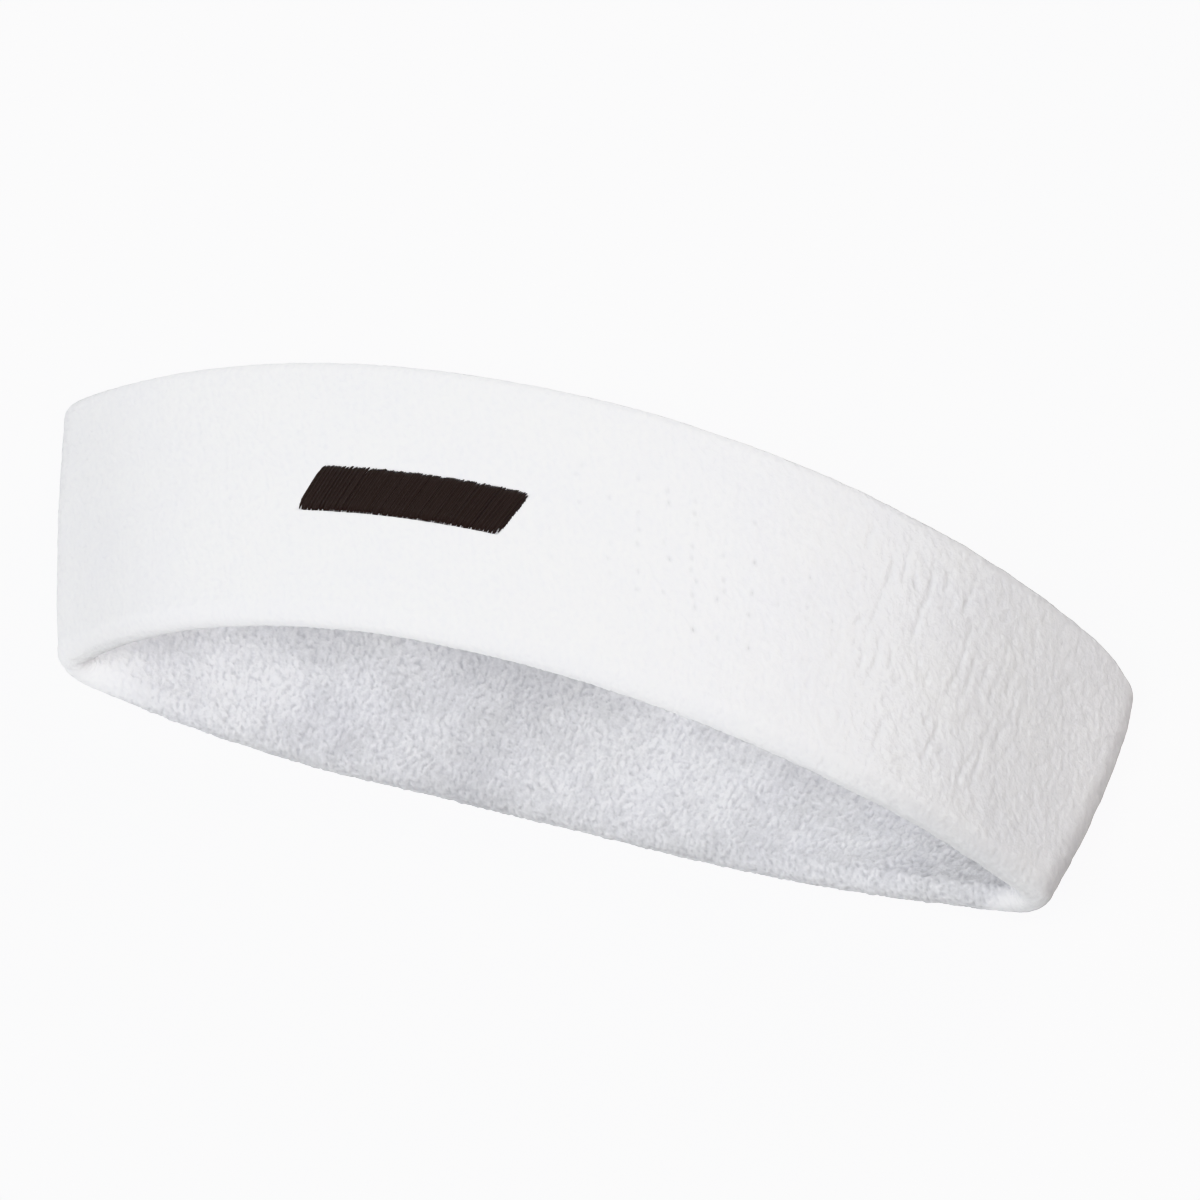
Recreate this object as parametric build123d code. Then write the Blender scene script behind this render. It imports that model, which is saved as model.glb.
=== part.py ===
from build123d import *

import os
from math import atan2, cos, pi, radians, sin
from typing import NamedTuple

# A terry sports headband: a knitted tube turned back on itself into two plies, linked shut on the
# inside, with a small embroidered mark on the front. It lies on the back half of its loop.
# X runs along the band's width, Y from its lower edge to its upper edge, Z up. Millimetres.
# Every layer is placed by its offset from the middle of the doubled wall: plus is outwards.

# Driving dimensions
BAND_HEIGHT = 50.0
WALL_HALF = 3.0
PLY_SPLIT_HALF = 1.5
GROUND_OUTER = 1.45
GROUND_INNER = 0.95
REST_FLATTENING = 0.3
STRAIGHT_STEPS = 8
ROUNDING_ANGLES = (25.0, 50.0, 70.0, 80.0)
CUT_OVERRUN = 2.0

# Elastic threads laid in each ply, and the linked seam that closes the tube on the inner side
ELASTIC_RADIUS = 0.25
ELASTIC_OFFSET = 0.65
ELASTIC_PITCH = 2.75
SEAM_ACROSS = 42.25
SEAM_GAP = 1.2
SEAM_THREAD_RADIUS = 0.45
SEAM_THREAD_OFFSET = -2.1

# Embroidered mark: a bar with slanted ends, on the left of the front wall
MARK_ALONG_FRONT = -23.5
MARK_ACROSS = 24.5
MARK_LENGTH = 39.0
MARK_WIDTH = 9.0
MARK_SLANT = 32.0
MARK_CORNER = 1.2
SATIN_LAYER = (1.95, 2.9)
UNDERLAY_LAYER = (1.6, 1.9)
POCKET_LAYER = (1.55, 6.0)
BACKING_LAYER = (0.03, 0.3)
BOBBIN_LAYER = (-0.22, -0.02)
UNDERLAY_INSET = 0.9
BOBBIN_INSET = 1.6
BACKING_MARGIN = 4.0
POCKET_MARGIN = 0.15
PRISM_REACH = 9.0


class HalfLoop(NamedTuple):
    """One side of the band's loop, from the middle of its resting face round to the front."""

    flat: float
    side_length: float
    side_turn: float
    fold_radius: float


class Level(NamedTuple):
    """The loop of the wall's middle at one distance across the band."""

    right: HalfLoop
    left: HalfLoop
    front_rise: float
    shift: float


LOWER = Level(HalfLoop(20.0, 66.0, 20.0, 4.5), HalfLoop(20.0, 51.0, 17.0, 4.5), 52.0, 0.0)
UPPER = Level(HalfLoop(66.0, 17.5, 4.0, 4.5), HalfLoop(66.0, 21.0, 4.0, 5.5), 50.0, 3.8)


def blend(low, high, share):
    """Mix two numbers, or two tuples of them field by field."""
    if isinstance(low, tuple):
        return type(low)(*(blend(a, b, share) for a, b in zip(low, high)))
    return low + (high - low) * share


def level_at(across):
    """The loop at a distance across the band, which widens evenly from edge to edge."""
    share = (across - WALL_HALF) / (BAND_HEIGHT - 2 * WALL_HALF)
    return blend(LOWER, UPPER, min(max(share, 0.0), 1.0))


def half_arcs(half, front_rise):
    """The side, fold and front arcs of a half loop, as (centre, radius, first and last heading)."""
    turn = radians(half.side_turn)
    side_radius = half.side_length / turn
    side_centre = (half.flat, side_radius)
    inset = side_radius - half.fold_radius
    fold_centre = (half.flat + inset * sin(turn), side_radius - inset * cos(turn))
    room = front_rise - fold_centre[1]
    spread = fold_centre[0] ** 2 + room**2 - half.fold_radius**2
    front_radius = spread / (2 * (room - half.fold_radius))
    front_centre = (0.0, front_rise - front_radius)
    heading = atan2(fold_centre[0], front_centre[1] - fold_centre[1])
    return (
        (side_centre, side_radius, 0.0, turn),
        (fold_centre, half.fold_radius, turn, heading),
        (front_centre, front_radius, heading, pi),
    )


def reach(half, front_rise):
    """How far the middle of the wall reaches sideways on one side."""
    fold_centre, fold_radius = half_arcs(half, front_rise)[1][:2]
    return fold_centre[0] + fold_radius


CENTRE_X = UPPER.shift + (reach(UPPER.right, UPPER.front_rise) - reach(UPPER.left, UPPER.front_rise)) / 2
BASE_Z = WALL_HALF - REST_FLATTENING


def place(along, across, above):
    """A point from loop coordinates, with the origin under the middle of the band."""
    return Vector(along - CENTRE_X, across - BAND_HEIGHT / 2, above + BASE_Z)


def loop_wire(across, offset):
    """The closed loop of one layer at one distance across the band."""
    level = level_at(across)
    low = (level.shift - level.left.flat, level.shift + level.right.flat)
    edges = [Edge.make_line(*(place(x, across, -offset) for x in low))]
    for side, half in ((1, level.right), (-1, level.left)):
        arcs = half_arcs(half, level.front_rise)
        made = [arc_edge(level.shift, side, across, arc, offset) for arc in arcs]
        edges += made if side > 0 else reversed(made)
    return Wire(edges)


def arc_edge(shift, side, across, arc, offset):
    """One arc of the loop, mirrored on the left side."""
    (centre_x, centre_z), radius, first, last = arc
    radius += offset
    ends = []
    for heading in (first, (first + last) / 2, last):
        along = shift + side * (centre_x + radius * sin(heading))
        ends.append(place(along, across, centre_z - radius * cos(heading)))
    return Edge.make_three_point_arc(*(ends if side > 0 else reversed(ends)))


def straight_levels():
    """The distances across the band where its straight wall has a loop."""
    run = BAND_HEIGHT - 2 * WALL_HALF
    return [WALL_HALF + run * step / STRAIGHT_STEPS for step in range(STRAIGHT_STEPS + 1)]


def rounded_skin(half_thickness, sign):
    """The solid inside one face of a wall whose two long edges are rounded."""
    lower, upper = [], []
    for angle in map(radians, ROUNDING_ANGLES):
        offset = sign * half_thickness * cos(angle)
        back = half_thickness * sin(angle)
        lower.insert(0, loop_wire(WALL_HALF - back, offset))
        upper.append(loop_wire(BAND_HEIGHT - WALL_HALF + back, offset))
    if sign < 0:
        lower.insert(0, loop_wire(-CUT_OVERRUN, offset))
        upper.append(loop_wire(BAND_HEIGHT + CUT_OVERRUN, offset))
    middle = [loop_wire(across, sign * half_thickness) for across in straight_levels()]
    return Solid.make_loft(lower + middle + upper, ruled=True)


def rounded_ring(half_thickness):
    """A closed wall of the given half thickness with rounded long edges."""
    return rounded_skin(half_thickness, 1) - rounded_skin(half_thickness, -1)


def straight_skin(offset, first=-CUT_OVERRUN, last=BAND_HEIGHT + CUT_OVERRUN):
    """The solid inside a layer that runs straight across the band."""
    between = [across for across in straight_levels() if first < across < last]
    return Solid.make_loft([loop_wire(across, offset) for across in (first, *between, last)], ruled=True)


def plies(outer_half, inner_half):
    """A layer of the doubled tube, parted at the lower fold and at the closing seam."""
    layer = rounded_ring(outer_half) - rounded_ring(inner_half)
    outer = layer - straight_skin(0.0, last=SEAM_ACROSS + SEAM_GAP / 2)
    inner = layer & straight_skin(0.0, last=SEAM_ACROSS - SEAM_GAP / 2)
    return outer, inner


def mark_plane():
    """The plane on the outer face at the mark, facing outwards, with X along the band."""
    level = level_at(MARK_ACROSS)
    (centre_x, centre_z), radius = half_arcs(level.left, level.front_rise)[2][:2]
    lean = MARK_ALONG_FRONT / radius
    along = level.shift + centre_x + radius * sin(lean)
    origin = place(along, MARK_ACROSS, centre_z + radius * cos(lean))
    return Plane(origin, x_dir=(cos(lean), 0, -sin(lean)), z_dir=(sin(lean), 0, cos(lean)))


def bar_outline(grow, slant=MARK_SLANT):
    """The mark's outline, grown or shrunk all round: a bar with slanted ends."""
    half_width = MARK_WIDTH / 2 + grow
    half_length = (MARK_LENGTH - MARK_WIDTH * sin(radians(slant))) / 2 + grow
    lean = half_width * sin(radians(slant)) / cos(radians(slant))
    corners = [(-half_length - lean, -half_width), (half_length - lean, -half_width)]
    corners += [(-x, -y) for x, y in corners]
    return fillet(Polygon(*corners, align=None).vertices(), MARK_CORNER)


def mark_prism(outline):
    """The outline pushed through the wall at the mark."""
    return extrude(mark_plane() * outline, PRISM_REACH, both=True)


def mark_layer(layer, outline):
    """A patch of one layer of the front wall inside the outline."""
    low, high = layer
    return (straight_skin(high) - straight_skin(low)) & mark_prism(outline)


def ring_threads(offset):
    """Elastic threads, one closed ring for each laid-in course."""
    first = WALL_HALF + ELASTIC_PITCH
    count = int((BAND_HEIGHT - 2 * first) / ELASTIC_PITCH) + 1
    return [thread_ring(first + ELASTIC_PITCH * course, offset, ELASTIC_RADIUS) for course in range(count)]


def thread_ring(across, offset, radius):
    """A round thread that follows the loop."""
    path = loop_wire(across, offset)
    section = Plane(path @ 0, z_dir=path % 0) * Circle(radius)
    return sweep(section, path=path)


def floor_block():
    """The space below the surface that the band rests on."""
    size = 8 * BAND_HEIGHT
    return Pos(0, 0, -size / 2) * Box(size, size, size)


def seam_thread():
    """The linking thread that lies between the two ends of the tube."""
    return thread_ring(SEAM_ACROSS, SEAM_THREAD_OFFSET, SEAM_THREAD_RADIUS)


def build_nodes():
    """Every piece of the headband by its node name."""
    outer_pile, inner_pile = plies(WALL_HALF, PLY_SPLIT_HALF)
    outer_ground, inner_ground = plies(GROUND_OUTER, GROUND_INNER)
    satin = mark_layer(SATIN_LAYER, bar_outline(0.0))
    underlay = mark_layer(UNDERLAY_LAYER, bar_outline(-UNDERLAY_INSET))
    pocket = mark_layer(POCKET_LAYER, bar_outline(POCKET_MARGIN))
    return {
        "outer_pile": outer_pile - pocket - floor_block(),
        "inner_pile": inner_pile,
        "outer_ground_knit": outer_ground,
        "inner_ground_knit": inner_ground,
        "outer_elastic_threads": ring_threads(ELASTIC_OFFSET),
        "inner_elastic_threads": ring_threads(-ELASTIC_OFFSET),
        "closing_seam_thread": seam_thread(),
        "mark_satin_stitches": satin,
        "mark_underlay_stitches": underlay,
        "mark_bobbin_stitches": mark_layer(BOBBIN_LAYER, bar_outline(-BOBBIN_INSET)),
        "embroidery_backing": mark_layer(BACKING_LAYER, bar_outline(BACKING_MARGIN, 0.0)),
    }


def export(name, shape):
    """Write one node, as one solid or as a group of solids."""
    shapes = shape if isinstance(shape, list) else [shape]
    solids = [solid for one in shapes for solid in one.solids()]
    body = solids[0] if len(solids) == 1 else Compound(children=solids)
    export_step(body, f"parts/{name}.step")
    print(name, len(solids), round(sum(solid.volume for solid in solids), 1))


os.makedirs("parts", exist_ok=True)
for node_name, node_shape in build_nodes().items():
    export(node_name, node_shape)
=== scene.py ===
import math

import bpy
import numpy as np
from mathutils import Matrix, Vector


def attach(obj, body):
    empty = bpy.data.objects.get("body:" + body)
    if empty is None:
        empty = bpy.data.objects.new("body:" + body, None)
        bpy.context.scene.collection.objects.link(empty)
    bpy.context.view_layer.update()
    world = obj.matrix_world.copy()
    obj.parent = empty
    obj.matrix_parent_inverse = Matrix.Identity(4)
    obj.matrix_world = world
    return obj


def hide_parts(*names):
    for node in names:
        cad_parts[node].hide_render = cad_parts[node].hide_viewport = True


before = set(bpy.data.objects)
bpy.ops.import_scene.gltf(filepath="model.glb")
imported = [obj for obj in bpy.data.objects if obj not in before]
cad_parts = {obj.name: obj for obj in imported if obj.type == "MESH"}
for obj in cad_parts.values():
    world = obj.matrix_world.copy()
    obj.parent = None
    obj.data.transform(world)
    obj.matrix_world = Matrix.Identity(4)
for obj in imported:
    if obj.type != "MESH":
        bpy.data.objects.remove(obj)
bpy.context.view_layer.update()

# The band is worked out in millimetres, in the CAD model's own terms, and turned into metres at the end.
MM = 0.001
BAND_HEIGHT = 50.0
WALL_HALF = 3.0
SKIN_BACK = 1.5
REST_FLATTENING = 0.3
SEAM_ACROSS = 42.25
SEAM_GAP = 1.2

# A side of the loop: half its resting face, its side arc's length and turn, and its fold's radius.
# A level: the right side, the left side, the rise of its front, and its sideways shift.
LOWER = ((20.0, 66.0, 20.0, 4.5), (20.0, 51.0, 17.0, 4.5), 52.0, 0.0)
UPPER = ((66.0, 17.5, 4.0, 4.5), (66.0, 21.0, 4.0, 5.5), 50.0, 3.8)

# The mark: a bar with slanted ends on the left of the front
MARK_ALONG_FRONT = -23.5
MARK_ACROSS = 24.5
MARK_LENGTH = 39.0
MARK_WIDTH = 9.0
MARK_SLANT = math.radians(32.0)
MARK_CORNER = 1.2
MARK_EDGE = 0.1
MARK_EDGE_RUN = 0.4

# Satin stitches of the mark: the foot is how far their ends stand out from the middle of the wall
STITCH_PITCH = 0.34
STITCH_RADIUS = 0.21
STITCH_FOOT = 2.25
STITCH_ARCH = 0.4
STITCH_LIFT = 0.06
STITCH_END_JITTER = 0.22
STITCH_SLIP = 0.05
STITCH_WAVE = 0.04
STITCH_STEPS = 13
STITCH_SEED = 21
MARK_SINK = 1.35

# Linking chain of the closing seam: the offset is how far in it lies from the middle of the wall
SEAM_LINKS = 190
SEAM_STEPS_PER_LINK = 12
SEAM_RADIUS = 0.24
SEAM_SWAY = 0.3
SEAM_OFFSET = 2.3
SEAM_TWIST = 0.25
SEAM_GROOVE = 0.9
SEAM_GROOVE_RUN = 0.35

# Round threads: how many sides they have, and how thin their ends are
THREAD_SIDES = 7
THREAD_END = 0.45

# Terry pile: the mesh's pitch, and how deep its loops, creases and pits are
GRID_PITCH = 0.33
HIDDEN_ROW_PITCH = 2.5
LOOP_ROUND = 374.0
INNER_DEPTH = 0.5
OUTER_DEPTH = 0.17
STAND_LEVEL = 0.9
SHORT_LOOP_SHARE = 0.72
CREASE_PITCH = 2.3
CREASE_LEAN = 0.2
CREASE_MIDDLE = 130.0
CREASE_SPREAD = 18.0
CREASE_DEPTH = 0.24
PINHOLE_MIDDLE = 168.0
PINHOLE_SPREAD = 16.0
PINHOLE_ROW_PITCH = 4.6
PINHOLE_CLEAR = 0.2
PINHOLE_RADIUS = 0.3
PINHOLE_DEPTH = 0.3
JOIN_LAP = 1.0
JOIN_STEP = 0.04
JOIN_TUCK = 0.4

# Loops of pile: their pitch round the band and along the tube, half length and half width, lean, seed
TALL_LOOPS = ((1.25, 1.1), (0.95, 0.46), 0.55, 11)
SHORT_LOOPS = ((0.95, 0.85), (0.7, 0.36), 0.9, 12)

# How much single loops differ in their place, in their stand, and in their length and width
LOOP_SHIFTS = (0.32, 0.38)
LOOP_STANDS = (0.55, 1.0)
LOOP_LENGTHS = (0.75, 1.25)
LOOP_WIDTHS = (0.8, 1.2)

# Soft random fields: their pitch round the loop and along the tube, and a seed
BROAD_BEND = ((9.0, 7.0), 3)
FINE_BEND = ((3.5, 3.0), 4)
CLUMPS = ((1.9, 2.2), 5)
SWELL = ((14.0, 11.0), 6)
LUMPS = ((4.2, 3.6), 7)
SPECKS = ((1.15, 1.1), 8)
BROAD_WAVE = ((6.0, 5.5), 31)
FINE_WAVE = ((2.4, 2.2), 32)
CREASE_BREAKS = ((2.3, 3.6), 33)
PINHOLE_SEED = 41
BROAD_CLOUD = ((7.0, 9.0), 51)
FINE_CLOUD = ((2.8, 3.4), 52)

# How high the random fields stand in millimetres, and how much the clouds change the tone
BEND_HEIGHTS = (0.9, 0.5)
WAVE_HEIGHTS = (0.55, 0.3)
CLUMP_HEIGHT = 0.2
LUMP_HEIGHT = 0.1
SWELL_HEIGHT = 0.08
SPECK_HEIGHT = 0.11
CLOUD_TONES = (0.055, 0.04)

# How rough the terry is next to the inner face's flat: outside, more where it is creased, and on the folds
OUTER_ROUGH = 0.2
CREASED_ROUGH = 0.4
FOLD_ROUGH = 0.65

# Where the terry changes from the inner face to the outer one on the lower fold, behind and in front, and
# on the upper fold, and how long the change is, as shares of the fold; the left corner is nearly all outer
FACE_STARTS = (0.45, -0.1)
FACE_END = 0.1
FACE_CHANGE = 0.5
CORNER_OUTER = 0.9

# How soft the painted shade along the rim, the ends of the flats and the ends of the front are, in
# millimetres
RIM_CHANGE = 3.0
FLAT_CHANGE = 4.0
FRONT_MARGIN = 6
FRONT_CHANGE = 8

# How the soft band strays from its nominal shape at its two folds
FOLD_SPREAD = 9.0
FOLD_BELLY = 0.8
RIGHT_CORNER_SINK = 1.0
RIGHT_CORNER_DROP = 1.2
LEFT_DROOP = 1.1

# Bands of painted light and shade across the inner face, which stand in for the light and shade on soft
# waves of the back wall and for light in its shaded far left: place round the loop, spread, and how much
# lighter or darker
INNER_PAINTED_LIGHT_BANDS = (
    (368.0, 11.0, -0.05),
    (19.0, 10.0, 0.06),
    (60.0, 16.0, 0.07),
    (320.0, 14.0, 0.12),
    (298.0, 12.0, 0.17),
)

# Bands of painted shade across the outer face, darker towards its two ends where less light falls: place
# round the loop, spread, and how much lighter or darker
OUTER_PAINTED_SHADE_BANDS = (
    (112.0, 38.0, -0.255),
    (279.0, 14.0, -0.11),
)

# Painted shade: how much darker the colour is made along the rims, to take off the light they catch, and in
# the creases and the pinholes, and how much the pinholes lower the pile's stand, which paints shade deep in
# it
BACK_RIM_PAINTED_SHADE = 0.07
FRONT_RIM_PAINTED_SHADE = 0.06
LEFT_RIM_PAINTED_SHADE = 0.05
CREASE_PAINTED_SHADE = 0.05
PINHOLE_PAINTED_SHADE = 0.35
PINHOLE_SHADE = 0.6

# Lights: name, azimuth, elevation, size, strength, colour, and whether it casts shadows
PLAIN_LIGHT = (1.0, 1.0, 1.0)
LIGHTS = (
    ("key", -24.0, 58.0, 0.6, 0.56, PLAIN_LIGHT, True),
    ("shadowless_key", -24.0, 58.0, 0.6, 0.46, PLAIN_LIGHT, False),
    ("front_fill", 5.0, 13.0, 0.9, 0.18, PLAIN_LIGHT, True),
    ("low_fill", -10.0, -20.0, 0.9, 0.12, PLAIN_LIGHT, False),
    ("back_fill", 165.0, 28.0, 1.0, 0.5, PLAIN_LIGHT, True),
    ("warm_side", 96.0, 6.0, 0.8, 0.2, (1.0, 0.86, 0.8), False),
    ("cool_side", -92.0, 10.0, 0.7, 0.06, (0.84, 0.92, 1.0), True),
)
LIGHT_DISTANCE = 1.6
LIGHT_AIM = (0.0, 0.0, 0.03)

# Camera: its direction from the band in degrees, its lens, and what it aims at in metres
CAMERA_AZIMUTH = 16.3
CAMERA_ELEVATION = 60.4
CAMERA_DISTANCE = 0.9
CAMERA_LENS = 165.3
CAMERA_AIM_HEIGHT = 0.0147
CAMERA_SHIFT_RIGHT = 0.0088
CAMERA_SHIFT_UP = 0.0076

# Studio, in metres
FLOOR_HALF = 6.0
BACKDROP_RADIUS = 5.9
BACKDROP_HEIGHT = 4.0
BACKDROP_SIDES = 96

# The surround's brightness from straight down, at 0, past the horizon, at 0.5, to straight up, at 1.
# The first and last steps come first, because a new ramp already has them.
SURROUND = ((0.0, 0.9), (1.0, 0.2), (0.3, 0.7), (0.42, 0.16), (0.5, 0.22), (0.55, 0.22), (0.62, 0.18))
SURROUND_TINT = (0.97, 0.98, 1.0)

# Colours of each face: darker patches, lighter patches, and the painted shade deep in the pile. The yarn is
# white on both faces; the inner face's colours are made greyer and a little bluer as painted shade inside
# the band.
INNER_COLORS_WITH_PAINTED_SHADE = ((0.608, 0.61, 0.64, 1.0), (0.715, 0.717, 0.72, 1.0), (0.8, 0.803, 0.817, 1.0))
OUTER_COLORS = ((0.905, 0.907, 0.932, 1.0), (0.95, 0.95, 0.945, 1.0), (0.94, 0.94, 0.95, 1.0))

BLACK_THREAD = (0.026, 0.0175, 0.0155, 1.0)
WHITE_THREAD = (0.9, 0.9, 0.9, 1.0)

# Colours of the CAD parts that stay as they are, under the pile and the mark
HIDDEN_COLORS = {
    "outer_ground_knit": (0.9, 0.9, 0.91, 1.0),
    "inner_ground_knit": (0.86, 0.86, 0.88, 1.0),
    "outer_elastic_threads": (0.84, 0.82, 0.78, 1.0),
    "inner_elastic_threads": (0.84, 0.82, 0.78, 1.0),
    "mark_underlay_stitches": BLACK_THREAD,
    "mark_bobbin_stitches": WHITE_THREAD,
    "embroidery_backing": (0.88, 0.88, 0.86, 1.0),
}


def blend(low, high, share):
    """Mix two numbers, or two tuples of them field by field."""
    if isinstance(low, tuple):
        return tuple(blend(a, b, share) for a, b in zip(low, high))
    return low + (high - low) * share


def level_at(across):
    """The loop at a distance across the band, which widens evenly from edge to edge."""
    share = (across - WALL_HALF) / (BAND_HEIGHT - 2 * WALL_HALF)
    return blend(LOWER, UPPER, min(max(share, 0.0), 1.0))


def half_arcs(half, rise):
    """The arcs of a half loop, as (centre, radius, first heading, last heading)."""
    flat, side_length, side_turn, fold_radius = half
    turn = math.radians(side_turn)
    side_radius = side_length / turn
    inset = side_radius - fold_radius
    fold = (flat + inset * math.sin(turn), side_radius - inset * math.cos(turn))
    room = rise - fold[1]
    front_radius = (fold[0] ** 2 + room**2 - fold_radius**2) / (2 * (room - fold_radius))
    front = (0.0, rise - front_radius)
    heading = math.atan2(fold[0], front[1] - fold[1])
    return (
        ((flat, side_radius), side_radius, 0.0, turn),
        (fold, fold_radius, turn, heading),
        (front, front_radius, heading, math.pi),
    )


def half_length(half, rise):
    """The length of a half loop, from the middle of its resting face to the top of the front."""
    return half[0] + sum(radius * (last - first) for _, radius, first, last in half_arcs(half, rise))


def reach(half, rise):
    """How far the middle of the wall reaches sideways on one side."""
    fold, fold_radius = half_arcs(half, rise)[1][:2]
    return fold[0] + fold_radius


CENTRE_X = UPPER[3] + (reach(UPPER[0], UPPER[2]) - reach(UPPER[1], UPPER[2])) / 2
BASE_Z = WALL_HALF - REST_FLATTENING


def half_points(half, rise, along):
    """Places and outward directions at distances along a half loop, as x, z, out_x, out_z."""
    x, z = along.copy(), np.zeros_like(along)
    out_x, out_z = np.zeros_like(along), -np.ones_like(along)
    start = half[0]
    for centre, radius, first, last in half_arcs(half, rise):
        heading = np.minimum(first + (along - start) / radius, last)
        here = along >= start
        x = np.where(here, centre[0] + radius * np.sin(heading), x)
        z = np.where(here, centre[1] - radius * np.cos(heading), z)
        out_x = np.where(here, np.sin(heading), out_x)
        out_z = np.where(here, -np.cos(heading), out_z)
        start += radius * (last - first)
    return x, z, out_x, out_z


def loop_points(across, shares):
    """The middle of the wall at one distance across: x, z and the outward direction."""
    right, left, rise, shift = level_at(across)
    right_length, left_length = half_length(right, rise), half_length(left, rise)
    total = right_length + left_length
    along = shares * total
    on_right = along <= right_length
    right_x, right_z, right_out_x, right_out_z = half_points(right, rise, np.minimum(along, right_length))
    left_x, left_z, left_out_x, left_out_z = half_points(left, rise, np.minimum(total - along, left_length))
    x = np.where(on_right, right_x, -left_x) + shift - CENTRE_X
    z = np.where(on_right, right_z, left_z) + BASE_Z
    out_x = np.where(on_right, right_out_x, -left_out_x)
    out_z = np.where(on_right, right_out_z, left_out_z)
    return x, z, out_x, out_z


def on_wall(across, offset, shares, level=None):
    """Points of the wall in metres, from distances across and out of it and shares of the loop.

    The level says which loop to follow, and is the distance across unless it is given.
    """
    across, offset, shares = np.broadcast_arrays(across, offset, shares)
    level = across if level is None else np.broadcast_to(level, across.shape)
    points = np.zeros(across.shape + (3,))
    for value in np.unique(level):
        here = level == value
        x, z, out_x, out_z = loop_points(float(value), shares[here])
        points[here, 0] = x + offset[here] * out_x
        points[here, 2] = z + offset[here] * out_z
    points[..., 1] = across - BAND_HEIGHT / 2
    return points * MM


def mark_share():
    """Where the mark's middle is on the loop at its own level."""
    right, left, rise, _ = level_at(MARK_ACROSS)
    right_length = half_length(right, rise)
    return (right_length - MARK_ALONG_FRONT) / (right_length + half_length(left, rise))


MARK_SHARE = mark_share()
MARK_HALF_RUN = (MARK_LENGTH - MARK_WIDTH * math.sin(MARK_SLANT)) / 2


def fold_place(side):
    """Where the middle of a side's fold is, in millimetres round the loop at the middle of the band."""
    level = level_at(BAND_HEIGHT / 2)
    half, rise = level[side], level[2]
    _, radius, first, last = half_arcs(half, rise)[1]
    along = half[0] + half[1] + radius * (last - first) / 2
    total = half_length(level[0], rise) + half_length(level[1], rise)
    share = along / total if side == 0 else 1 - along / total
    return share * LOOP_ROUND


RIGHT_FOLD = fold_place(0)
LEFT_FOLD = fold_place(1)

# The doubled tube's own path round the wall's section, from one side of the closing seam on the inner
# face, down and round the lower fold, up the outer face, round the upper fold and back to the seam.
INNER_RUN = SEAM_ACROSS - SEAM_GAP / 2 - WALL_HALF
FOLD_RUN = math.pi * WALL_HALF
OUTER_RUN = BAND_HEIGHT - 2 * WALL_HALF
LAST_RUN = BAND_HEIGHT - WALL_HALF - SEAM_ACROSS - SEAM_GAP / 2
LOWER_FOLD_AT = INNER_RUN + FOLD_RUN / 2
PATH_RUN = INNER_RUN + FOLD_RUN + OUTER_RUN + FOLD_RUN + LAST_RUN


def section_at(path, radius=WALL_HALF):
    """Across, offset and outward direction on the section at a distance along the tube's path."""
    lower_turn = np.clip((path - INNER_RUN) / WALL_HALF, 0.0, math.pi)
    upper_turn = np.clip((path - INNER_RUN - FOLD_RUN - OUTER_RUN) / WALL_HALF, 0.0, math.pi)
    turn = lower_turn + upper_turn
    out_across, out_offset = -np.sin(turn), -np.cos(turn)
    straight = np.where(
        path < INNER_RUN,
        SEAM_ACROSS - SEAM_GAP / 2 - path,
        WALL_HALF + np.clip(path - INNER_RUN - FOLD_RUN, 0.0, OUTER_RUN),
    )
    past = np.maximum(path - (PATH_RUN - LAST_RUN), 0.0)
    return straight - past + radius * out_across, radius * out_offset, out_across, out_offset


def terry_loops(around, path, pitch, size, lean, seed):
    """How high the looped pile stands, from 0 to 1: each loop is a short arch of yarn on the ground."""
    rng = np.random.default_rng(seed)
    wales = round(LOOP_ROUND / pitch[0])
    courses = round(PATH_RUN / pitch[1]) + 5
    step = (LOOP_ROUND / wales, pitch[1])
    shape = (wales, courses)
    shift_around = rng.uniform(-LOOP_SHIFTS[0], LOOP_SHIFTS[0], shape)
    shift_path = rng.uniform(-LOOP_SHIFTS[1], LOOP_SHIFTS[1], shape)
    angle = rng.normal(0.0, lean, shape)
    stand = rng.uniform(*LOOP_STANDS, shape)
    length = size[0] * rng.uniform(*LOOP_LENGTHS, shape)
    width = size[1] * rng.uniform(*LOOP_WIDTHS, shape)
    column = np.floor(around / step[0]).astype(int)
    row = np.floor(path / step[1]).astype(int)
    height = np.zeros_like(around)
    for by_column in (-1, 0, 1):
        for by_row in (-2, -1, 0, 1, 2):
            i = (column + by_column) % wales
            j = np.clip(row + by_row + 2, 0, courses - 1)
            across = around - (column + by_column + 0.5 + shift_around[i, j]) * step[0]
            along = path - (row + by_row + 0.5 + shift_path[i, j]) * step[1]
            cosine, sine = np.cos(angle[i, j]), np.sin(angle[i, j])
            end = (along * cosine + across * sine) / length[i, j]
            side = (across * cosine - along * sine) / width[i, j]
            arch = stand[i, j] * np.sqrt(np.maximum(1.0 - end**2 - side**2, 0.0))
            height = np.maximum(height, arch)
    return height


def smooth_noise(around, path, pitch, seed):
    """Soft random ups and downs, from -1 to 1, that close up round the loop."""
    rng = np.random.default_rng(seed)
    columns = max(3, round(LOOP_ROUND / pitch[0]))
    rows = max(3, math.ceil(PATH_RUN / pitch[1]) + 2)
    values = rng.uniform(-1.0, 1.0, (columns, rows))
    u = around / LOOP_ROUND * columns
    v = path / pitch[1]
    i, j = np.floor(u).astype(int), np.clip(np.floor(v).astype(int), 0, rows - 2)
    a, b = u - i, v - j
    a, b = a * a * (3 - 2 * a), b * b * (3 - 2 * b)
    low = values[i % columns, j] * (1 - a) + values[(i + 1) % columns, j] * a
    high = values[i % columns, j + 1] * (1 - a) + values[(i + 1) % columns, j + 1] * a
    return low * (1 - b) + high * b


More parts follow.
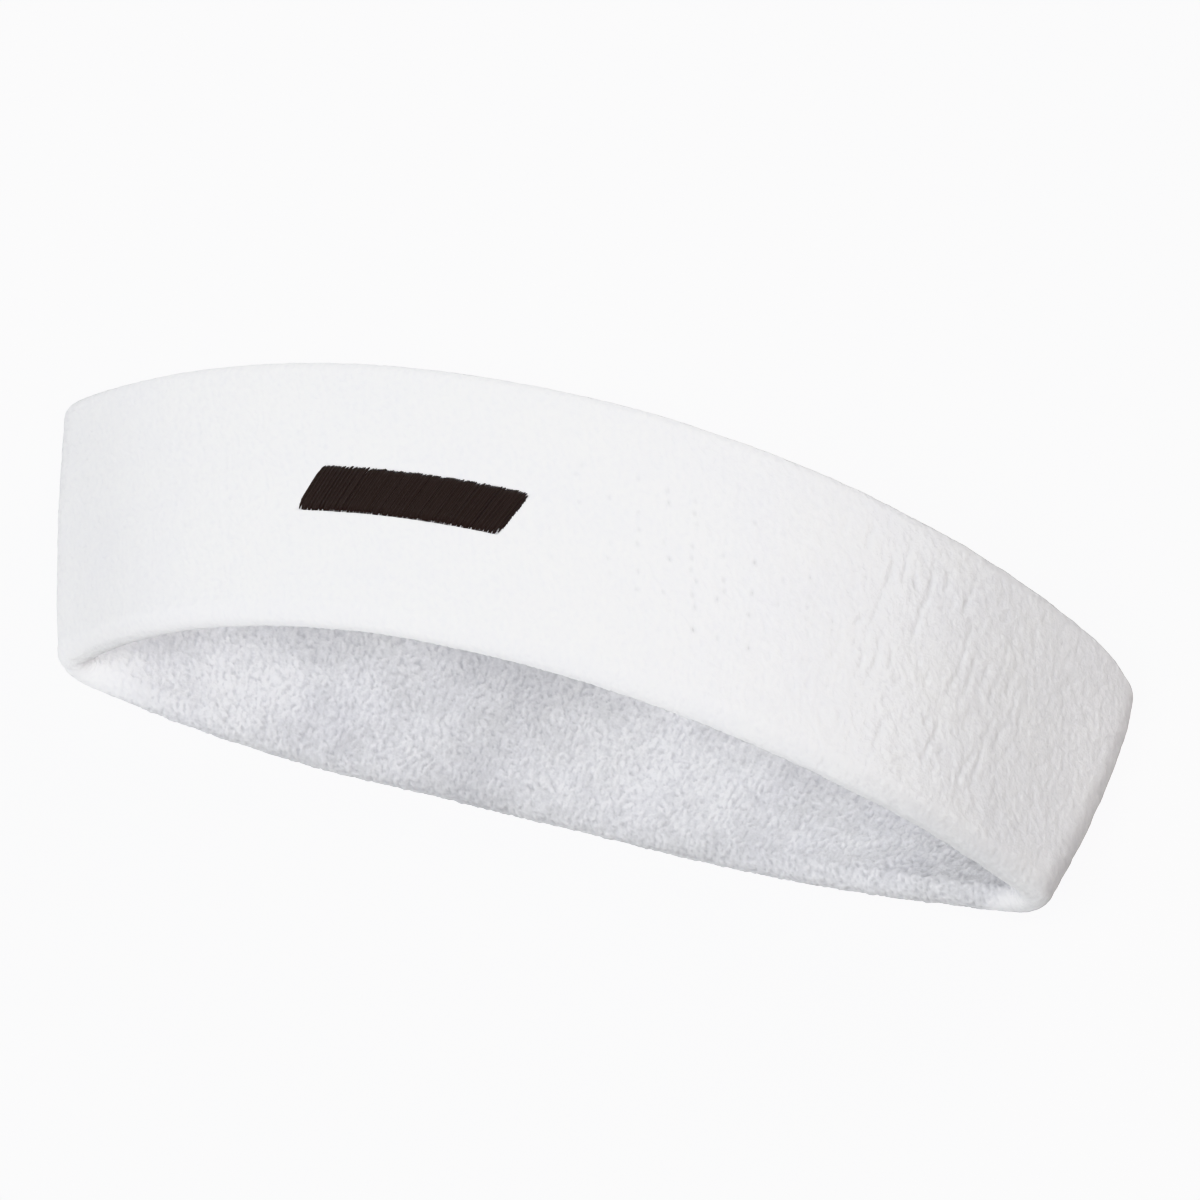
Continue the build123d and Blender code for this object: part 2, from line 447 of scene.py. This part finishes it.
def soft_step(value):
    """0 below 0, 1 above 1, and a smooth rise between."""
    value = np.clip(value, 0.0, 1.0)
    return value * value * (3 - 2 * value)


def hump(around, middle, spread):
    """A smooth hump round the loop, 1 at its middle."""
    gap = (around - middle + LOOP_ROUND / 2) % LOOP_ROUND - LOOP_ROUND / 2
    return np.exp(-((gap / spread) ** 2))


def front_share(around):
    """1 on the front of the loop, between the two folds, and 0 on the back."""
    from_right = soft_step((around - RIGHT_FOLD + FRONT_MARGIN) / FRONT_CHANGE)
    from_left = soft_step((LEFT_FOLD + FRONT_MARGIN - around) / FRONT_CHANGE)
    return from_right * from_left


def outer_share(around, path):
    """How much a place belongs to the smooth outer face: 1 there, 0 inside, soft round the folds."""
    start = INNER_RUN + blend(FACE_STARTS[0], FACE_STARTS[1], front_share(around)) * FOLD_RUN
    lower = soft_step((path - start) / (FACE_CHANGE * FOLD_RUN))
    upper = soft_step((PATH_RUN - LAST_RUN - FACE_END * FOLD_RUN - path) / (FACE_CHANGE * FOLD_RUN))
    corner = CORNER_OUTER * hump(around, LEFT_FOLD + 6, 11.0)
    return np.maximum(np.minimum(lower, upper), corner)


def flat_share(path):
    """1 on the flat of either face, and 0 on the two folds."""
    lower = np.abs(path - INNER_RUN - FOLD_RUN / 2)
    upper = np.abs(path - PATH_RUN + LAST_RUN + FOLD_RUN / 2)
    return soft_step((np.minimum(lower, upper) - FOLD_RUN / 2) / FLAT_CHANGE)


def inner_tone_and_painted_light(around, path):
    """Painted light and shade on the inner face: bands where the back is not quite flat, a darker band
    along the back's lower fold, which catches more light, and clouds of colour that differ at random.
    """
    tone_and_painted_light = np.zeros_like(around)
    # Painted light and shade in bands, standing in for soft waves of the back wall and for light in its
    # shaded far left
    for middle, spread, amount in INNER_PAINTED_LIGHT_BANDS:
        tone_and_painted_light += amount * hump(around + 0.25 * (path - INNER_RUN), middle, spread)
    # Painted shade along the back's lower fold, to take off the light it catches
    rim = hump(path, LOWER_FOLD_AT - 0.5, 4.5) * (1 - front_share(around))
    broad = smooth_noise(around, path, *BROAD_CLOUD)
    fine = smooth_noise(around, path, *FINE_CLOUD)
    return 1 + tone_and_painted_light - BACK_RIM_PAINTED_SHADE * rim + CLOUD_TONES[0] * broad + CLOUD_TONES[1] * fine


def outer_painted_shade(around, path):
    """Painted shade on the outer face: broad, faint darker bands towards its two ends, where less light
    falls, and along its lower rim, which catches more light.
    """
    # Painted shade along the front's lower edge, where it catches more light, more so towards the left fold
    rim = soft_step((INNER_RUN + FOLD_RUN - path) / RIM_CHANGE) * front_share(around)
    tone_and_painted_light = 1 - (FRONT_RIM_PAINTED_SHADE + LEFT_RIM_PAINTED_SHADE * hump(around, LEFT_FOLD - 8, 34.0)) * rim
    # Painted shade in broad bands towards the two ends of the outer face, where less light falls
    for middle, spread, amount in OUTER_PAINTED_SHADE_BANDS:
        tone_and_painted_light += amount * hump(around, middle, spread)
    return tone_and_painted_light


def creases(around, path):
    """Short soft creases across the band, 0 to 1, on the right of the front."""
    wave = WAVE_HEIGHTS[0] * smooth_noise(around, path, *BROAD_WAVE)
    wave = wave + WAVE_HEIGHTS[1] * smooth_noise(around, path, *FINE_WAVE)
    middle = INNER_RUN + FOLD_RUN + OUTER_RUN / 2
    lean = CREASE_LEAN * (path - middle)
    phase = (around + wave + lean) / CREASE_PITCH * 2 * math.pi
    line = (0.5 + 0.5 * np.cos(phase)) ** 3
    broken = soft_step((smooth_noise(around + lean, path, *CREASE_BREAKS) + 0.05) / 0.5)
    inside = soft_step((OUTER_RUN / 2 + 1 - np.abs(path - middle)) / 9)
    return line * broken * hump(around, CREASE_MIDDLE, CREASE_SPREAD) * inside


def pinholes(around, path):
    """Tiny pits in short rows across the front, 0 to 1, where the ground's stitches show through."""
    rng = np.random.default_rng(PINHOLE_SEED)
    pits = np.zeros_like(around)
    for row in np.arange(RIGHT_FOLD + 48, LEFT_FOLD - 25, PINHOLE_ROW_PITCH):
        at = INNER_RUN + FOLD_RUN + rng.uniform(8.0, 17.0)
        clear = PINHOLE_CLEAR + (1 - PINHOLE_CLEAR) * hump(row, PINHOLE_MIDDLE, PINHOLE_SPREAD)
        while at < INNER_RUN + FOLD_RUN + OUTER_RUN - 10:
            if rng.uniform() < 0.5:
                sideways = around - row - rng.normal(0.0, 0.35) + 0.12 * (path - at)
                gap = sideways**2 + 0.4 * (path - at) ** 2
                pits = np.maximum(pits, np.exp(-gap / PINHOLE_RADIUS**2) * clear * rng.uniform(0.4, 1.0))
            at += rng.uniform(1.3, 2.6)
    return pits


def pile_height(around, path):
    """The pile's height above the wall's nominal face in millimetres, its stand, its face, and a factor on
    its colour with random clouds and painted light and shade.
    """
    bend = BEND_HEIGHTS[0] * smooth_noise(around, path, *BROAD_BEND)
    bend = bend + BEND_HEIGHTS[1] * smooth_noise(around, path, *FINE_BEND)
    tall = terry_loops(around + bend, path, *TALL_LOOPS)
    short = terry_loops(around + bend, path, *SHORT_LOOPS)
    stand = np.maximum(tall, SHORT_LOOP_SHARE * short)
    clumps = smooth_noise(around + bend, path, *CLUMPS)
    lumps = smooth_noise(around, path, *LUMPS)
    specks = smooth_noise(around, path, *SPECKS)
    swell = smooth_noise(around, path, *SWELL)
    outer = outer_share(around, path)
    crease = creases(around, path) * outer
    pits = pinholes(around, path)
    rough = blend(1.0, OUTER_ROUGH + CREASED_ROUGH * hump(around, CREASE_MIDDLE - 6, 32.0), outer)
    rough = rough * blend(FOLD_ROUGH, 1.0, flat_share(path))
    height = blend(INNER_DEPTH, OUTER_DEPTH, outer) * (stand - STAND_LEVEL)
    coarse = CLUMP_HEIGHT * rough * clumps + LUMP_HEIGHT * rough * lumps
    height += coarse + SWELL_HEIGHT * swell + SPECK_HEIGHT * rough * outer * specks
    height -= CREASE_DEPTH * crease + PINHOLE_DEPTH * pits
    # Painted shade: darker in the creases and the pinholes
    painted_shade_with_creases = outer_painted_shade(around, path) - CREASE_PAINTED_SHADE * crease - PINHOLE_PAINTED_SHADE * pits
    tone_and_painted_light = blend(inner_tone_and_painted_light(around, path), painted_shade_with_creases, outer)
    # The pinholes also lower the stand, which paints shade deep in the pile
    return height, stand * (1 - PINHOLE_SHADE * pits), outer, tone_and_painted_light


def slack(around, across):
    """How the soft band strays from its nominal shape: further across, and further out of the wall."""
    up = (across - BAND_HEIGHT / 2) / (BAND_HEIGHT / 2)
    folds = hump(around, RIGHT_FOLD, FOLD_SPREAD) + hump(around, LEFT_FOLD, FOLD_SPREAD)
    belly = FOLD_BELLY * folds * (1 - up**2)
    belly = belly - RIGHT_CORNER_SINK * hump(around, RIGHT_FOLD - 4, 7.0) * np.maximum(up, 0.0) ** 5
    under = hump(around, RIGHT_FOLD - 3, 30.0) * (around < RIGHT_FOLD - 3)
    near_corner = np.maximum(hump(around, RIGHT_FOLD - 3, 5.0), under)
    corner = -RIGHT_CORNER_DROP * near_corner * soft_step((up - 0.1) / 0.9)
    droop = -LEFT_DROOP * hump(around, LEFT_FOLD + 38, 36.0) * soft_step((0.6 - up) / 1.6)
    return corner + droop, belly


def mark_depth(shares, across):
    """How far the pile is pressed down under the mark, from 0 outside it to 1 inside."""
    along = (MARK_SHARE - shares) * LOOP_ROUND
    up = across - MARK_ACROSS
    sideways = np.abs(along - up * math.tan(MARK_SLANT)) - MARK_HALF_RUN
    inside = -np.maximum(sideways * math.cos(MARK_SLANT), np.abs(up) - MARK_WIDTH / 2)
    return np.clip((inside + MARK_EDGE) / MARK_EDGE_RUN, 0.0, 1.0)


def grid_mesh(name, points, attributes):
    """A piece made of a grid of points that closes up along both its rows and its columns."""
    rows, columns = points.shape[:2]
    here = np.arange(rows * columns).reshape(rows, columns)
    above = np.roll(here, -1, axis=0)
    quads = np.stack([here, np.roll(here, -1, 1), np.roll(above, -1, 1), above], axis=-1).reshape(-1, 4)
    mesh = bpy.data.meshes.new(name)
    mesh.vertices.add(rows * columns)
    mesh.vertices.foreach_set("co", points.reshape(-1).astype(np.float32))
    mesh.loops.add(quads.size)
    mesh.loops.foreach_set("vertex_index", quads.reshape(-1).astype(np.int32))
    mesh.polygons.add(len(quads))
    mesh.polygons.foreach_set("loop_start", np.arange(0, quads.size, 4, dtype=np.int32))
    mesh.polygons.foreach_set("loop_total", np.full(len(quads), 4, np.int32))
    mesh.update(calc_edges=True)
    mesh.polygons.foreach_set("use_smooth", np.ones(len(quads), bool))
    for key, values in attributes.items():
        made = mesh.attributes.new(key, "FLOAT", "POINT")
        made.data.foreach_set("value", values.reshape(-1).astype(np.float32))
    mesh.validate()
    piece = bpy.data.objects.new(name, mesh)
    bpy.context.scene.collection.objects.link(piece)
    return piece


def slack_wall(level, across, offset, shares):
    """Points of the wall in metres, with the slack that belongs to their level."""
    stray_across, stray_offset = slack(shares[None, :] * LOOP_ROUND, level)
    return on_wall(across + stray_across, offset + stray_offset, shares[None, :], level)


def terry_ply(name, first, last, lap):
    """One ply of the tube: looped pile on its outside, and a plain back that faces the other ply.

    The two plies meet along the lower fold, where each laps a little under the other: lap is 1 for the
    ply that ends there, and -1 for the one that starts there.
    """
    columns = round(LOOP_ROUND / GRID_PITCH)
    shares = np.arange(columns) / columns
    path = np.linspace(first, last, round((last - first) / GRID_PITCH) + 1)
    back = np.linspace(last, first, round((last - first) / HIDDEN_ROW_PITCH) + 1)
    around_grid, path_grid = np.meshgrid(shares * LOOP_ROUND, path)
    height, stand, outer, tone_and_painted_light = pile_height(around_grid, path_grid)
    across, offset, out_across, out_offset = (part[:, None] for part in section_at(path))
    pressed = mark_depth(shares[None, :], across) * (offset > 0.99 * WALL_HALF)
    height = height * (1 - pressed) - MARK_SINK * pressed
    from_seam = np.minimum(path, PATH_RUN - path)[:, None]
    height = height - SEAM_GROOVE * np.exp(-from_seam / SEAM_GROOVE_RUN)
    past_join = np.clip(lap * (path[:, None] - LOWER_FOLD_AT) / JOIN_LAP, -1.0, 1.0)
    height = height - JOIN_STEP * (1 + past_join) - JOIN_TUCK * np.maximum(past_join, 0.0) ** 4
    front = slack_wall(across, across + height * out_across, offset + height * out_offset, shares)
    back_across, back_offset, *_ = (part[:, None] for part in section_at(back, SKIN_BACK))
    behind = slack_wall(back_across, back_across, back_offset, shares)
    points = np.concatenate([front, behind])
    points[..., 2] = np.maximum(points[..., 2], 0.0)
    hidden = np.ones(behind.shape[:2])
    # The last of these carries the painted light and shade to the material
    values = {"stand": stand, "outer": outer, "tone_and_painted_light": tone_and_painted_light}
    attributes = {key: np.concatenate([value, hidden]) for key, value in values.items()}
    return grid_mesh(name, points, attributes)


def tubes(name, lines, radius, closed=False):
    """Round threads along lines of points, all as one piece."""
    sides = THREAD_SIDES
    vertices, faces = [], []
    for line in lines:
        line = np.asarray(line)
        count = len(line)
        ahead = np.roll(line, -1, 0) - np.roll(line, 1, 0) if closed else np.gradient(line, axis=0)
        ahead /= np.linalg.norm(ahead, axis=1, keepdims=True)
        side = np.cross(ahead, (0.0, 1.0, 0.3))
        side /= np.linalg.norm(side, axis=1, keepdims=True)
        lift = np.cross(side, ahead)
        turns = np.arange(sides) / sides * 2 * math.pi
        girth = radius * np.ones(count)
        if not closed:
            girth[0] = girth[-1] = THREAD_END * radius
        ring = side[:, None] * np.cos(turns)[None, :, None]
        ring = ring + lift[:, None] * np.sin(turns)[None, :, None]
        start = sum(len(v) for v in vertices)
        vertices.append((line[:, None] + ring * girth[:, None, None]).reshape(-1, 3))
        for i in range(count if closed else count - 1):
            a, b = start + i * sides, start + (i + 1) % count * sides
            faces += [(a + k, a + (k + 1) % sides, b + (k + 1) % sides, b + k) for k in range(sides)]
        if not closed:
            faces.append([start + k for k in reversed(range(sides))])
            faces.append([start + (count - 1) * sides + k for k in range(sides)])
    mesh = bpy.data.meshes.new(name)
    mesh.from_pydata(np.concatenate(vertices).tolist(), [], faces)
    mesh.polygons.foreach_set("use_smooth", np.ones(len(mesh.polygons), bool))
    piece = bpy.data.objects.new(name, mesh)
    bpy.context.scene.collection.objects.link(piece)
    return piece


def satin_stitches():
    """Black satin stitches across the mark, side by side, each dipping into the pile at its ends."""
    rng = np.random.default_rng(STITCH_SEED)
    count = round(2 * MARK_HALF_RUN / STITCH_PITCH)
    lines = []
    for k in range(count + 1):
        place = -MARK_HALF_RUN + 2 * MARK_HALF_RUN * k / count
        from_end = MARK_HALF_RUN - abs(place)
        rounding = max(MARK_CORNER - from_end, 0.0)
        short = MARK_CORNER - math.sqrt(max(MARK_CORNER**2 - rounding**2, 0.0))
        half = MARK_WIDTH / 2 - short
        low = -half + rng.uniform(-STITCH_END_JITTER, STITCH_END_JITTER)
        high = half + rng.uniform(-STITCH_END_JITTER, STITCH_END_JITTER)
        share = np.linspace(0.0, 1.0, STITCH_STEPS)
        up = low + (high - low) * share
        lift = rng.uniform(-STITCH_LIFT, STITCH_LIFT) + STITCH_LIFT * (k % 2)
        offset = STITCH_FOOT + STITCH_ARCH * (1 - np.abs(2 * share - 1) ** 5) ** 0.5 + lift
        along = place + up * math.tan(MARK_SLANT)
        along = along + STITCH_SLIP * rng.normal() + STITCH_WAVE * np.sin(share * 3 + k)
        shares = MARK_SHARE - along / LOOP_ROUND
        lines.append(on_wall(MARK_ACROSS + up, offset, shares))
    return tubes("mark_satin_threads", lines, STITCH_RADIUS * MM)


def seam_chain():
    """The linking chain that closes the tube: two threads that wind round each other."""
    steps = SEAM_LINKS * SEAM_STEPS_PER_LINK
    shares = np.arange(steps) / steps
    stray_across, stray_offset = slack(shares * LOOP_ROUND, SEAM_ACROSS)
    lines = []
    for phase in (0.0, math.pi):
        wind = shares * SEAM_LINKS * 2 * math.pi + phase
        across = SEAM_ACROSS + SEAM_SWAY * np.sin(wind)
        offset = -SEAM_OFFSET - SEAM_TWIST * np.cos(wind) + stray_offset
        lines.append(on_wall(across + stray_across, offset, shares, SEAM_ACROSS))
    return tubes("seam_chain_threads", lines, SEAM_RADIUS * MM, closed=True)


def node_group(material):
    """A material's nodes, links and shader, ready to fill."""
    material.use_nodes = True
    tree = material.node_tree
    return tree.nodes, tree.links, tree.nodes["Principled BSDF"]


def mixed(nodes, links, factor, low, high, blend_type="MIX"):
    """A mix of two colours, each a colour or an output, by a factor that is a number or an output."""
    mix = nodes.new("ShaderNodeMix")
    mix.data_type = "RGBA"
    mix.blend_type = blend_type
    for socket, value in (("Factor", factor), ("A", low), ("B", high)):
        if isinstance(value, bpy.types.NodeSocket):
            links.new(value, mix.inputs[socket])
        else:
            mix.inputs[socket].default_value = value
    return mix.outputs["Result"]


def point_value(nodes, name):
    """A value kept with the mesh's points."""
    attribute = nodes.new("ShaderNodeAttribute")
    attribute.attribute_name = name
    return attribute.outputs["Fac"]


def noise_value(nodes, links, place, scale, detail):
    """Soft noise over the piece."""
    noise = nodes.new("ShaderNodeTexNoise")
    noise.inputs["Scale"].default_value = scale
    noise.inputs["Detail"].default_value = detail
    links.new(place, noise.inputs["Vector"])
    return noise.outputs["Fac"]


def terry_material(name):
    """Looped cotton: white yarn, painted greyer inside the band and deep in the pile as painted shade, with
    fine fibres.
    """
    material = bpy.data.materials.new(name)
    nodes, links, shader = node_group(material)
    shader.inputs["Roughness"].default_value = 0.95
    shader.inputs["Specular IOR Level"].default_value = 0.2
    shader.inputs["Subsurface Weight"].default_value = 0.6
    shader.inputs["Subsurface Radius"].default_value = (1.0, 1.0, 1.0)
    shader.inputs["Subsurface Scale"].default_value = 0.0007
    shader.inputs["Sheen Weight"].default_value = 0.1
    shader.inputs["Sheen Roughness"].default_value = 0.6
    place = nodes.new("ShaderNodeTexCoord").outputs["Object"]
    patches = noise_value(nodes, links, place, 90.0, 3.0)
    # The inner face's colours are the white yarn made greyer as painted shade
    inner = mixed(nodes, links, patches, INNER_COLORS_WITH_PAINTED_SHADE[0], INNER_COLORS_WITH_PAINTED_SHADE[1])
    outer = mixed(nodes, links, patches, OUTER_COLORS[0], OUTER_COLORS[1])
    face = point_value(nodes, "outer")
    yarn = mixed(nodes, links, face, inner, outer)
    low = mixed(nodes, links, face, INNER_COLORS_WITH_PAINTED_SHADE[2], OUTER_COLORS[2])
    # Where the pile stands low its colour is painted darker: painted shade deep in the pile
    depth = nodes.new("ShaderNodeMapRange")
    depth.inputs["From Min"].default_value = 0.1
    depth.inputs["From Max"].default_value = 0.8
    links.new(point_value(nodes, "stand"), depth.inputs["Value"])
    shade = mixed(nodes, links, depth.outputs["Result"], low, (1.0, 1.0, 1.0, 1.0))
    shaded = mixed(nodes, links, 1.0, yarn, shade, "MULTIPLY")
    # This multiplies in the painted light and shade worked out with the mesh
    toned = mixed(nodes, links, 1.0, shaded, point_value(nodes, "tone_and_painted_light"), "MULTIPLY")
    fibres = noise_value(nodes, links, place, 2400.0, 2.0)
    # Fibre flecks; the much darker flecks on the inner face are part of its painted shade
    fleck_and_inner_painted_shade = mixed(nodes, links, face, (0.8, 0.8, 0.81, 1.0), (0.975, 0.975, 0.975, 1.0))
    grain = mixed(nodes, links, fibres, fleck_and_inner_painted_shade, (1.04, 1.04, 1.04, 1.0))
    links.new(mixed(nodes, links, 1.0, toned, grain, "MULTIPLY"), shader.inputs["Base Color"])
    bump = nodes.new("ShaderNodeBump")
    bump.inputs["Strength"].default_value = 0.6
    bump.inputs["Distance"].default_value = 0.00015
    links.new(fibres, bump.inputs["Height"])
    links.new(bump.outputs["Normal"], shader.inputs["Normal"])
    return material


def thread_material(name, color, roughness, sheen):
    """Twisted thread, with its strands as a fine bump."""
    material = bpy.data.materials.new(name)
    nodes, links, shader = node_group(material)
    shader.inputs["Roughness"].default_value = roughness
    shader.inputs["Sheen Weight"].default_value = sheen
    place = nodes.new("ShaderNodeTexCoord").outputs["Object"]
    strands = noise_value(nodes, links, place, 2500.0, 2.0)
    dark = tuple(0.7 * c for c in color[:3]) + (1.0,)
    links.new(mixed(nodes, links, strands, dark, color), shader.inputs["Base Color"])
    bump = nodes.new("ShaderNodeBump")
    bump.inputs["Strength"].default_value = 0.4
    bump.inputs["Distance"].default_value = 0.00005
    links.new(strands, bump.inputs["Height"])
    links.new(bump.outputs["Normal"], shader.inputs["Normal"])
    return material


def dress(piece, material):
    """Give a piece its one material."""
    piece.data.materials.clear()
    piece.data.materials.append(material)


def studio_piece(name, points, faces, material):
    """A piece of the studio that sends no light back to the band."""
    mesh = bpy.data.meshes.new(name)
    mesh.from_pydata(points, [], faces)
    piece = bpy.data.objects.new(name, mesh)
    bpy.context.scene.collection.objects.link(piece)
    dress(piece, material)
    piece.visible_diffuse = False
    return piece


def paper_material():
    """Pale paper that glows, so that it shows as nearly white from every side."""
    material = bpy.data.materials.new("studio_paper")
    _, _, shader = node_group(material)
    shader.inputs["Base Color"].default_value = (0.95, 0.95, 0.955, 1.0)
    shader.inputs["Roughness"].default_value = 0.9
    shader.inputs["Specular IOR Level"].default_value = 0.1
    shader.inputs["Emission Color"].default_value = (1.0, 1.0, 1.0, 1.0)
    shader.inputs["Emission Strength"].default_value = 1.1
    return material


def make_floor(material):
    """A plain pale floor under the band."""
    corners = ((-1, -1), (1, -1), (1, 1), (-1, 1))
    points = [(x * FLOOR_HALF, y * FLOOR_HALF, 0) for x, y in corners]
    floor = studio_piece("studio_floor", points, [(0, 1, 2, 3)], material)


def make_backdrop(material):
    """A pale wall far off on every side, through which the surround still lights the band."""
    sides = BACKDROP_SIDES
    turns = [2 * math.pi * k / sides for k in range(sides)]
    ring = [(BACKDROP_RADIUS * math.sin(turn), BACKDROP_RADIUS * math.cos(turn)) for turn in turns]
    points = [(x, y, z) for z in (0.0, BACKDROP_HEIGHT) for x, y in ring]
    faces = [(k, (k + 1) % sides, (k + 1) % sides + sides, k + sides) for k in range(sides)]
    backdrop = studio_piece("studio_backdrop", points, faces, material)
    backdrop.visible_glossy = False
    backdrop.visible_shadow = False


def away_from_band(azimuth, elevation):
    """The direction from the band at an azimuth and an elevation in degrees; azimuth 0 is in front."""
    turn, rise = math.radians(azimuth), math.radians(elevation)
    return Vector((math.sin(turn) * math.cos(rise), -math.cos(turn) * math.cos(rise), math.sin(rise)))


def make_light(name, azimuth, elevation, size, strength, color, shadow):
    """A square soft light that faces the band; a strength of 1 shows a matt white as full white."""
    toward = away_from_band(azimuth, elevation)
    data = bpy.data.lights.new(name, "AREA")
    data.shape = "SQUARE"
    data.size = size
    data.energy = strength * (math.pi * LIGHT_DISTANCE) ** 2
    data.color = color
    data.use_shadow = shadow
    light = bpy.data.objects.new(name, data)
    light.location = Vector(LIGHT_AIM) + toward * LIGHT_DISTANCE
    light.rotation_euler = toward.to_track_quat("Z", "Y").to_euler()
    bpy.context.scene.collection.objects.link(light)


def make_surround():
    """A soft surround whose brightness changes with height, from the floor to the ceiling."""
    world = bpy.data.worlds.new("soft_surround")
    bpy.context.scene.world = world
    world.use_nodes = True
    nodes, links = world.node_tree.nodes, world.node_tree.links
    place = nodes.new("ShaderNodeTexCoord")
    parts = nodes.new("ShaderNodeSeparateXYZ")
    height = nodes.new("ShaderNodeMapRange")
    height.inputs["From Min"].default_value = -1.0
    ramp = nodes.new("ShaderNodeValToRGB")
    steps = ramp.color_ramp.elements
    for at, _ in SURROUND[2:]:
        steps.new(at)
    for step, (at, level) in zip(steps, sorted(SURROUND)):
        step.position = at
        step.color = tuple(level * part for part in SURROUND_TINT) + (1.0,)
    links.new(place.outputs["Generated"], parts.inputs["Vector"])
    links.new(parts.outputs["Z"], height.inputs["Value"])
    links.new(height.outputs["Result"], ramp.inputs["Fac"])
    links.new(ramp.outputs["Color"], nodes["Background"].inputs["Color"])


def make_lights():
    """The surround, a key light from the front left that is half without shadows, and five fills."""
    make_surround()
    for light in LIGHTS:
        make_light(*light)


def make_camera():
    """A long lens from in front and above, where the photo was taken from."""
    azimuth = math.radians(CAMERA_AZIMUTH)
    back = away_from_band(CAMERA_AZIMUTH, CAMERA_ELEVATION)
    right = Vector((math.cos(azimuth), math.sin(azimuth), 0.0))
    up = back.cross(right)
    middle = Vector((-CENTRE_X * MM, 0.0, CAMERA_AIM_HEIGHT))
    aim = middle + right * CAMERA_SHIFT_RIGHT + up * CAMERA_SHIFT_UP
    data = bpy.data.cameras.new("camera")
    data.sensor_width = 36.0
    data.lens = CAMERA_LENS
    data.clip_start = 0.01
    data.clip_end = 20.0
    camera = bpy.data.objects.new("camera", data)
    camera.location = aim + back * CAMERA_DISTANCE
    camera.rotation_euler = Matrix((right, up, back)).transposed().to_euler()
    bpy.context.scene.collection.objects.link(camera)
    bpy.context.scene.camera = camera


def make_band():
    """The band's pieces, each in place of its CAD node."""
    white = terry_material("outer_terry")
    inside = terry_material("inner_terry")
    black = thread_material("satin_thread", BLACK_THREAD, 0.85, 0.1)
    cotton = thread_material("cotton_thread", WHITE_THREAD, 0.9, 0.2)
    outer = terry_ply("terry_outer_ply", LOWER_FOLD_AT - JOIN_LAP, PATH_RUN, -1)
    inner = terry_ply("terry_inner_ply", 0.0, LOWER_FOLD_AT + JOIN_LAP, 1)
    satin = satin_stitches()
    chain = seam_chain()
    made = (
        (outer, "outer_pile", "outer_terry", white),
        (inner, "inner_pile", "inner_terry", inside),
        (satin, "mark_satin_stitches", "satin_thread", black),
        (chain, "closing_seam_thread", "seam_thread", cotton),
    )
    for piece, node, slot, material in made:
        dress(piece, material)
        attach(piece, "root")
        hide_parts(node)
    for name, color in HIDDEN_COLORS.items():
        dress(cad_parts[name], thread_material(name, color, 0.9, 0.1))


bpy.context.scene.view_settings.view_transform = "Khronos PBR Neutral"
make_camera()
make_lights()
paper = paper_material()
make_floor(paper)
make_backdrop(paper)
make_band()
